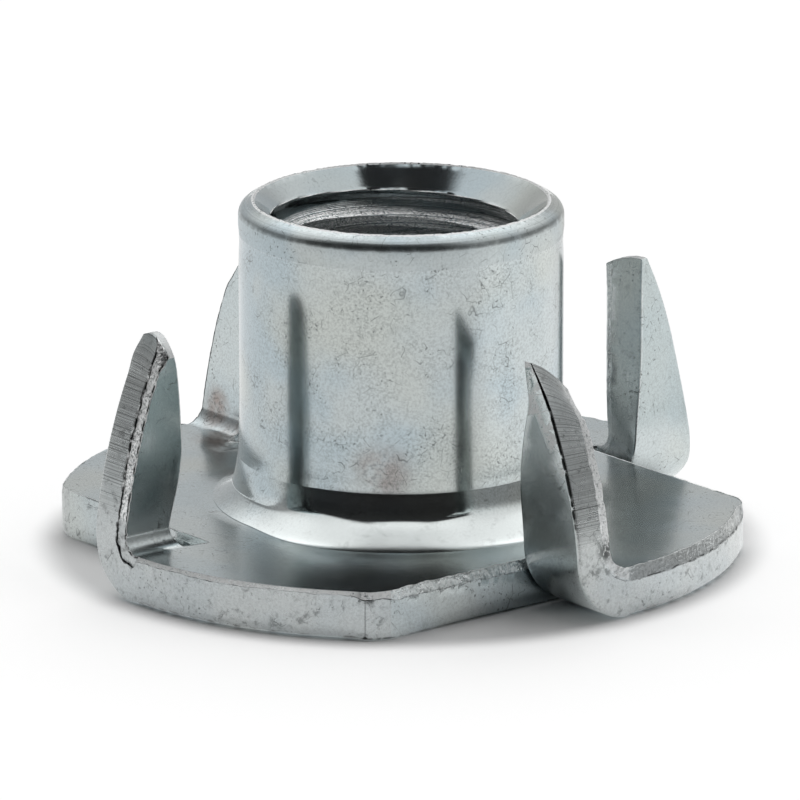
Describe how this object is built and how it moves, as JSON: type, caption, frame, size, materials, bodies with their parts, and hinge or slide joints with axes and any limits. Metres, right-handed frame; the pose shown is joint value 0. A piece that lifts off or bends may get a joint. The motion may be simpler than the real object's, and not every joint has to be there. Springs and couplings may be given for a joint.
{
  "type": "tee nut",
  "caption": "Press-in threaded insert with a drawn barrel, a slit round flange and upturned prongs that bite into wood.",
  "frame": {"origin": "on the barrel's axis, on the underside of the flange", "axes": "+Z along the barrel's axis, from the flange towards the rim and the prongs' tips; +X to the right when the nut is seen from its front"},
  "size_m": [0.0254, 0.0254, 0.0132],
  "materials": {
    "zinc_plated_steel": "bright zinc plating on pressed steel"
  },
  "bodies": {
    "root": {"tee_nut": "zinc_plated_steel"}
  },
  "joints": []
}
